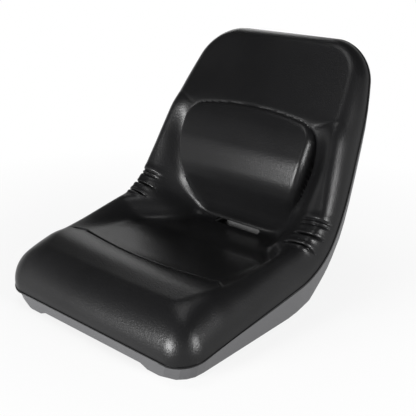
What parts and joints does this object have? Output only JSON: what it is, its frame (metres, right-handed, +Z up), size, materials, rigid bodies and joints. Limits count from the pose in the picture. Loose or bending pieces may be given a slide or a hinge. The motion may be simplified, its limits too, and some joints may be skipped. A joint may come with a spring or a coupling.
{
  "type": "tractor seat",
  "caption": "High-back tractor seat: one-piece padded cushion with side bolsters, lumbar pad and drain slot on a moulded shell with threaded mounting nuts.",
  "frame": {"origin": "middle of the four mounting nuts, on the base plane of the shell", "axes": "+Z up, the sitter faces -Y, +X to the left hand of the sitter"},
  "size_m": [0.5, 0.5862, 0.4756],
  "materials": {
    "shell": "grained moulded plastic, dark grey",
    "vinyl": "black grained vinyl skin, semi-gloss",
    "steel": "zinc plated steel"
  },
  "bodies": {
    "root": {"seat_shell": "shell", "cushion": "vinyl", "mount_nuts": "steel"}
  },
  "joints": []
}
